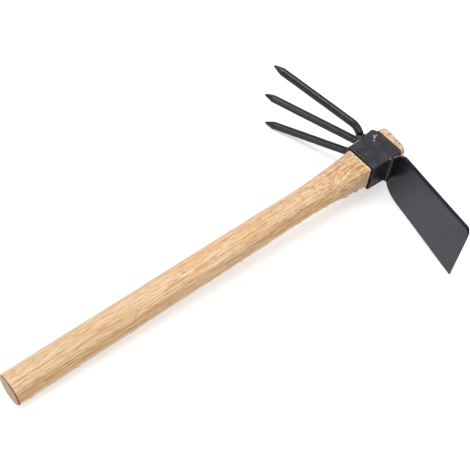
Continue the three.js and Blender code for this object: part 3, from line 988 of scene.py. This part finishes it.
# painted shade on the top side, where the overhead lamp lights the wood most
wood.lay(TOP_SHADE, wood.fade(towards(TOP_SIDE), 0.8, 0.98, 0, 0.55), wood.fade(x, -60, -20, 1, 0.5))
curls = wood.noise(grain, (0.03, 0.4, 0.4), 4, 0.7)
wood.lay(BLUSH, wood.fade(curls, 0.5, 0.66, 0, 0.45))
pale_rays = wood.noise(grain, (0.025, 1.3, 1.3), 3, 0.65)
wood.lay(CREAM, wood.fade(pale_rays, 0.46, 0.32, 0, 0.45))
fibres = wood.noise(grain, (0.06, 2.8, 2.8), 3, 0.7)
wood.lay(wood.ramp(fibres, [(0.37, FIBRE), (0.53, WHITE)]), 1.0, kind="MULTIPLY")
mottle = wood.noise(place, (0.5, 0.9, 0.9), 3, 0.65)
wood.lay(wood.ramp(mottle, [(0.32, MOTTLE), (0.68, WHITE)]), 1.0, kind="MULTIPLY")

# %% End grain and the dark ring at the butt
end_layers = wood.layers(height, 0.5, 3)
end_grain = wood.ramp(end_layers, [(0.4, END_GRAIN_DARK), (0.6, END_GRAIN_LIGHT)])
wood.lay(end_grain, wood.fade(x, BUTT + 0.25, BUTT + 0.05))
ring_noise = wood.noise(place, (1, 0.5, 0.5), 2)
ring_place = wood.times_plus(towards(RING_SIDE), 0.5, x)
ring = wood.times(wood.fade(x, BUTT + 0.1, BUTT + 0.3), wood.fade(ring_place, BUTT + 1.1, BUTT + 1.6, 1, 0))
wood.lay(BUTT_RING, ring, wood.fade(ring_noise, 0.3, 0.5, 0.6, 1))

# %% The bruised wood at the eye, a painted highlight and painted shade at its rims, and the stub
bruise = wood.times(wood.fade(x, -30, -20), wood.fade(towards(BRUISED_SIDE), 0.86, 0.95))
wood.lay(BRUISED, bruise, wood.fade(mottle, 0.35, 0.6, 0, 0.6))
# a painted highlight along the wood just before the eye's front rim
wood.lay(RIM_HIGHLIGHT, wood.fade(x, -3.6, -2.6), wood.fade(ring_noise, 0.4, 0.55, 0, 0.7))
# painted shade in the gaps where the wood enters and leaves the eye
shade_edge = wood.times_plus(wood.noise(place, (0.3, 0.5, 0.5), 2), 1.2, -0.6)
shade_place = wood.maths("ADD", x, shade_edge)
back_gap_shade = wood.fade(shade_place, EYE_LENGTH + 4.2, EYE_LENGTH + 3.2)
wood.lay(EYE_GAP_SHADE, wood.fade(shade_place, -1.1, -0.4), back_gap_shade)
stub_end = wood.fade(x, EYE_LENGTH + 3, EYE_LENGTH + 8)
wood.lay(STUB_LINE, stub_end, wood.fade(wood.layers(height, 0.5, 4), 0.5, 0.58, 0, 0.85))
blotches = wood.noise(place, (0.6, 0.45, 0.3), 4, 0.7)
wood.lay(STUB_BLOTCH, stub_end, wood.fade(blotches, 0.48, 0.6, 0, 0.4))

# %% The varnish and the grooves of the wood
wood.set("Roughness", wood.fade(mottle, 0.3, 0.7, 0.5, 0.65))
wood.set("Specular IOR Level", 0.25)
wood.set("Coat Weight", 0.1)
wood.set("Coat Roughness", 0.3)
deepest = wood.maths("MAXIMUM", pore_share, wood.times(fleck_share, 0.4))
grooves = wood.relief(wood.maths("SUBTRACT", 1.0, deepest), 0.25, 0.8)
wood.set("Normal", wood.relief(mottle, 0.25, 0.5, over=grooves))
handle.data.materials.append(wood.material)
print("the wood has", len(wood.tree.nodes), "nodes")

# %% [markdown]
# ## Black paint over steel
#
# The head is dipped in thin black paint. Its surface is satin, so it shows soft reflections, and
# it is faintly pitted. Along the eye's corners the paint is rubbed thin and the steel shows; the
# lighter paint there is partly painted glints, and the bare line along the fork side's top corner
# and the bare spots on the cheek are partly painted highlights. The eye's side towards the blade,
# and the blade near the eye, are darkened with painted shade, and the plate's narrow edges and
# arrises take darker paints that are painted shade. The welds are painted too, but their rough
# skin glints, and the grey on a few of them is painted glints. One recipe with a few numbers makes
# them all: the eye's copy is lighter, as painted light, and the rods' and welds' copies are darker,
# as painted shade. Wrapping an image round the rods and beads would leave seams.

# %% Colours and marks of the paint
BLACK = (0.0208, 0.0172, 0.0315)
# painted shade for the plate's edge faces and arrises
EDGE_SHADE_BLACK = (0.008, 0.0075, 0.009)
ARRIS_SHADE_BLACK = (0.0022, 0.002, 0.0026)
# a darker copy of the black paint for the rods: painted shade on their bodies
ROD_SHADE_BLACK = (0.0040, 0.0038, 0.0044)
# a lighter copy of the black paint for the eye: painted light on the cheek
EYE_LIT_BLACK = (0.0265, 0.0238, 0.0335)
# a darker copy of the black paint for the welds: painted shade
WELD_SHADE_BLACK = (0.0085, 0.008, 0.0085)
# a lighter grey for painted glints on a few welds
WELD_GLINT_GREY = (0.1, 0.09, 0.08)
WARM_TINT = (0.042, 0.029, 0.017)
# painted shade for the blade's root near the eye
ROOT_SHADE = (0.003, 0.0025, 0.003)
# painted shade for the eye's side towards the blade
BLADE_SIDE_SHADE = (0.014, 0.009, 0.006)
# rubbed paint on the eye's edges, lighter in part as painted glints
RUBBED_AND_GLINT = (0.085, 0.065, 0.055)
# bare steel, partly a painted highlight
BARE_STEEL_AND_HIGHLIGHT = (0.3, 0.3, 0.33)
CLOUDS_PER_MM = (0.09, 0.09, 0.09)
WARM_PER_MM = (0.17, 0.17, 0.17)
PITS_PER_MM = (0.9, 0.9, 0.9)
WAVES_PER_MM = (0.22, 0.22, 0.22)
CLOUD_MIDDLE = 1.2
CLOUD_SWING = 0.45
WELD_PIT_DEPTH = 0.16
EYE_GLOSS = 0.28
BLADE_SIDE_GLOSS = 0.06
# x, y and size of the bare spots on the upper cheek, which are partly painted highlights on spatter
BARE_SPOTS_AND_GLINTS = [(28.9, 11.3, 1.9), (25.0, 8.0, 1.3), (31.4, 11.2, 1.0), (27.9, 10.2, 1.3)]


# %% Mix the paint
class BlackPaint(Finish):
    """Satin paint over fine pits, the more cloudy and brownish the more it is mottled."""

    def __init__(self, name, colour, mottled=1, pit_depth=0.035, rough=0.24, gloss=0.34):
        super().__init__(name)
        self.here = self.place()
        self.cloud = self.noise(self.here, CLOUDS_PER_MM, 4, 0.62)
        self.pits = self.noise(self.here, PITS_PER_MM, 3, 0.55)
        dark = tuple(v * (CLOUD_MIDDLE - CLOUD_SWING * mottled) for v in colour)
        light = tuple(v * (CLOUD_MIDDLE + CLOUD_SWING * mottled) for v in colour)
        self.start(self.ramp(self.cloud, [(0.35, dark), (0.65, light)]))
        warm = self.noise(self.here, WARM_PER_MM, 4, 0.65)
        self.lay(WARM_TINT, self.fade(warm, 0.54, 0.7, 0, 0.5 * mottled))
        smoothest, roughest = rough - 0.05 * mottled, rough + 0.08 * mottled
        self.set("Roughness", self.fade(self.pits, 0.3, 0.7, smoothest, roughest))
        self.set("Specular IOR Level", gloss)
        flow = self.relief(self.noise(self.here, WAVES_PER_MM, 2), 0.3, 0.5)
        self.set("Normal", self.relief(self.pits, pit_depth, 0.6, over=flow))


def shade_blade_root(paint):
    """Painted shade: blacken the blade near the eye, where the eye shades it and darkens its reflection."""
    from_eye = paint.times_plus(paint.cloud, 8, paint.parts(paint.here)[1])
    paint.lay(ROOT_SHADE, paint.fade(from_eye, -56, -17, 0, 0.85))


def wear_and_painted_light(paint):
    """Darken the eye's blade side as painted shade, rub its edges lighter, partly as painted glints, and
    bare its marks and the fork side's top corner, partly as painted highlights.
    """
    x, y, z = paint.parts(paint.here)
    growth = paint.times_plus(x, (EYE_BACK_HALF / EYE_FRONT_HALF - 1) / EYE_LENGTH, 1)
    across = paint.maths("DIVIDE", paint.maths("DIVIDE", y, EYE_FRONT_HALF), growth)
    down = paint.maths("DIVIDE", paint.maths("ADD", z, EYE_DROP), EYE_HALF_DEPTH)
    to_corner = paint.maths("MINIMUM", paint.maths("ABSOLUTE", across), paint.maths("ABSOLUTE", down))
    # painted shade: the eye's side towards the blade is made darker and duller
    blade_side_shade = paint.fade(across, -0.9, -0.98)
    paint.lay(BLADE_SIDE_SHADE, blade_side_shade, paint.fade(paint.cloud, 0.35, 0.6, 0.9, 0.5))
    paint.set("Specular IOR Level", paint.fade(blade_side_shade, 0, 1, EYE_GLOSS, BLADE_SIDE_GLOSS))
    front_rim = paint.fade(x, 0.7, 0.15)
    back_rim = paint.fade(x, EYE_LENGTH - 0.5, EYE_LENGTH - 0.1)
    corner = paint.fade(to_corner, 0.93, 0.975)
    edges = paint.maths("MAXIMUM", corner, paint.maths("MAXIMUM", front_rim, back_rim))
    rub = paint.noise(paint.here, (0.25, 0.4, 0.4), 3, 0.6)
    # rubbed paint along the corners and rims, partly painted glints
    paint.lay(RUBBED_AND_GLINT, edges, paint.fade(rub, 0.42, 0.62, 0.1, 0.8))
    fork_side_top = paint.times(paint.fade(y, 10, 14), paint.fade(z, 10, 12))
    front_part = paint.times(paint.fade(x, 1.5, 3), paint.fade(x, 17, 14.5))
    # a line of bare steel along the fork side's top corner, partly a painted highlight
    paint.lay(BARE_STEEL_AND_HIGHLIGHT, paint.fade(to_corner, 0.885, 0.93), fork_side_top, front_part)
    # bare spots on the cheek, partly painted highlights
    for spot_x, spot_y, size in BARE_SPOTS_AND_GLINTS:
        away = paint.measure("DISTANCE", paint.here, (spot_x, spot_y, CHEEK))
        ragged = paint.times_plus(paint.pits, size, away)
        paint.lay(BARE_STEEL_AND_HIGHLIGHT, paint.fade(ragged, size * 1.6, size * 1.1, 0, 0.9))


blade_paint = BlackPaint("black paint", BLACK, mottled=0.25, pit_depth=0.012, gloss=0.27)
shade_blade_root(blade_paint)
# the darker, duller paints of the plate's edges and arrises are painted shade
edge_shade_paint = BlackPaint("black paint with painted shade on the plate's edge", EDGE_SHADE_BLACK, gloss=0.2)
arris_shade_paint = BlackPaint("painted shade on the arrises", ARRIS_SHADE_BLACK, gloss=0.05)
# the rods' paint is the darker copy, as painted shade
rod_paint = BlackPaint("black paint on rods", ROD_SHADE_BLACK, pit_depth=0.02, rough=0.12, gloss=0.38)
# the eye's paint is the lighter copy, as painted light
eye_paint = BlackPaint("black paint with painted light, rubbed at the corners", EYE_LIT_BLACK, mottled=1.4, gloss=EYE_GLOSS)
wear_and_painted_light(eye_paint)
# the welds' paint is the darker copy, as painted shade
weld_paint = BlackPaint(
    "black paint on welds", WELD_SHADE_BLACK, pit_depth=WELD_PIT_DEPTH, rough=0.22, gloss=0.3
)
# painted glints: a lighter grey paint on the top weld run and some spatter
glinting_weld = BlackPaint(
    "painted glints on welds", WELD_GLINT_GREY, pit_depth=WELD_PIT_DEPTH, rough=0.3, gloss=0.5
)
print("the eye's paint has", len(eye_paint.tree.nodes), "nodes")

# %% Paint the head
FACE, EDGE, ARRIS = 0, 1, 2
# the pieces that take the painted glints
GLINTING_PIECES = ["blade_weld_top_run"] + [f"weld_spatter_{i}" for i in range(1, 5)]
eye.data.materials.append(eye_paint.material)
for tine in tines:
    tine.data.materials.append(rod_paint.material)
for piece in beads + drops:
    weld_finish = glinting_weld if piece.name in GLINTING_PIECES else weld_paint
    piece.data.materials.append(weld_finish.material)
for blade_finish in (blade_paint, edge_shade_paint, arris_shade_paint):
    blade.data.materials.append(blade_finish.material)
plate_normal = (tool @ blade_seat).to_3x3().col[2]
# edge faces and arrises take the painted shade
for face in blade.data.polygons:
    facing = face.normal.dot(plate_normal)
    if abs(facing) < 0.12:
        face.material_index = EDGE
    elif -0.8 < facing < 0.97:
        face.material_index = ARRIS
    else:
        face.material_index = FACE
print("the blade has", len(blade.data.materials), "paints")

# %% Plain steel for the wedge
DARK_STEEL = (0.2, 0.19, 0.19)
LIGHT_STEEL = (0.4, 0.39, 0.38)
plain = Finish("plain steel")
scratches = plain.noise(plain.place(), (0.3, 3, 3), 3)
plain.start(plain.ramp(scratches, [(0.3, DARK_STEEL), (0.7, LIGHT_STEEL)]))
plain.set("Roughness", plain.fade(scratches, 0.3, 0.7, 0.35, 0.5))
plain.set("Metallic", 0.9)
wedge.data.materials.clear()
wedge.data.materials.append(plain.material)

# %% [markdown]
# ## The studio
#
# The tool lies on a white floor. In the camera's eye, and in reflections, the floor glows a
# little on top of the light it gets, so that it reads as white paper while the tool's soft shadow
# stays. Farther out, where the lamps hardly reach, it glows more. One large lamp hangs overhead
# and draws the bright line along each rod, one on the left lights the blade's inner face, and one
# low in front lights the side towards the camera. The world fills the rest. A picture of a real
# studio would give richer reflections, but lamps can be set one by one.

# %% The floor
FLOOR_REACH = 4.0
FLOOR_DROP = 0.0002
PAPER = (0.8, 0.8, 0.8)
GLOW_NEAR = 0.5
GLOW_FAR = 0.8
# how far out the glow starts and stops growing, in millimetres
GLOW_START = 600
GLOW_STOP = 2200
floor_corners = []
for across, forward in [(-1, -1), (1, -1), (1, 1), (-1, 1)]:
    floor_corners.append((across * FLOOR_REACH, forward * FLOOR_REACH, -FLOOR_DROP))
floor_mesh = bpy.data.meshes.new("floor")
floor_mesh.from_pydata(floor_corners, [], [(0, 1, 2, 3)])
floor = added("floor", floor_mesh)
paper = Finish("white paper")
paper.set("Base Color", PAPER)
paper.set("Roughness", 0.9)
paper.set("Emission Color", WHITE)
far_away = paper.measure("LENGTH", paper.place())
glow = paper.fade(far_away, GLOW_START, GLOW_STOP, GLOW_NEAR, GLOW_FAR)
paper.set("Emission Strength", paper.times(paper.shown(), glow))
floor.data.materials.append(paper.material)
print("the floor reaches", FLOOR_REACH, "m each way")

# %% The lamps
OVERHEAD_PLACE = (-0.21, 0.36, 1.47)
OVERHEAD_WIDTH = 1.3
OVERHEAD_LENGTH = 1.9
OVERHEAD_TURN = math.radians(33)


def softbox(name, place, target, size, power):
    """A round lamp that looks at a target."""
    lamp = bpy.data.lights.new(name, "AREA")
    lamp.shape = "DISK"
    lamp.size = size
    lamp.energy = power
    stand = added(name, lamp)
    stand.location = place
    stand.rotation_euler = (Vector(target) - Vector(place)).to_track_quat("-Z", "Y").to_euler()
    print(name, "gives", power, "W")
    return stand


overhead = softbox("overhead lamp", OVERHEAD_PLACE, (*OVERHEAD_PLACE[:2], 0), OVERHEAD_WIDTH, 23)
overhead.data.shape = "ELLIPSE"
overhead.data.size_y = OVERHEAD_LENGTH
overhead.rotation_euler = (0, 0, OVERHEAD_TURN)
softbox("left lamp", (-1.5, 0.3, 0.8), (0.1, 0, 0), 0.9, 3.4)
softbox("front lamp", (-0.4, -1.3, 0.3), (0, 0, 0.03), 1.2, 6)

# %% The world
WORLD_FILL = 0.3
world = bpy.data.worlds.new("studio")
world.use_nodes = True
bpy.context.scene.world = world
sky = Nodes(world.node_tree)
backdrop = sky.tree.nodes["Background"]
sky.feed(backdrop.inputs["Color"], WHITE)
sky.feed(backdrop.inputs["Strength"], sky.times_plus(sky.shown(), 1 - WORLD_FILL, WORLD_FILL))
bpy.context.scene.view_settings.view_transform = "Standard"
print("the world's fill is", WORLD_FILL)

# %% [markdown]
# ## The camera
#
# The place, the turn and the lens come from fitting a camera to the photograph's outlines: the
# straight handle, the blade's edges and the rods each fix part of it. Placing it by eye would be
# quicker, but the tool's angles would drift.

# %% Place the camera
SHOT_RIGHT = Vector((0.759266, -0.64181, 0.107684))
SHOT_DOWN = Vector((-0.444336, -0.632157, -0.634778))
SHOT_AHEAD = Vector((0.47548, 0.434117, -0.765154))
SHOT_PLACE = Vector((-0.36261, -0.33902, 0.64503))
SHOT_LENS = 69.81
SENSOR_WIDTH = 36
lens = bpy.data.cameras.new("camera")
lens.sensor_fit = "HORIZONTAL"
lens.sensor_width = SENSOR_WIDTH
lens.lens = SHOT_LENS
lens.clip_end = 20
camera = added("camera", lens)
stance = Matrix((SHOT_RIGHT, -SHOT_DOWN, -SHOT_AHEAD)).transposed().to_4x4()
stance.translation = SHOT_PLACE
camera.matrix_world = stance
bpy.context.scene.camera = camera
print("the camera stands at", [round(v, 3) for v in SHOT_PLACE])
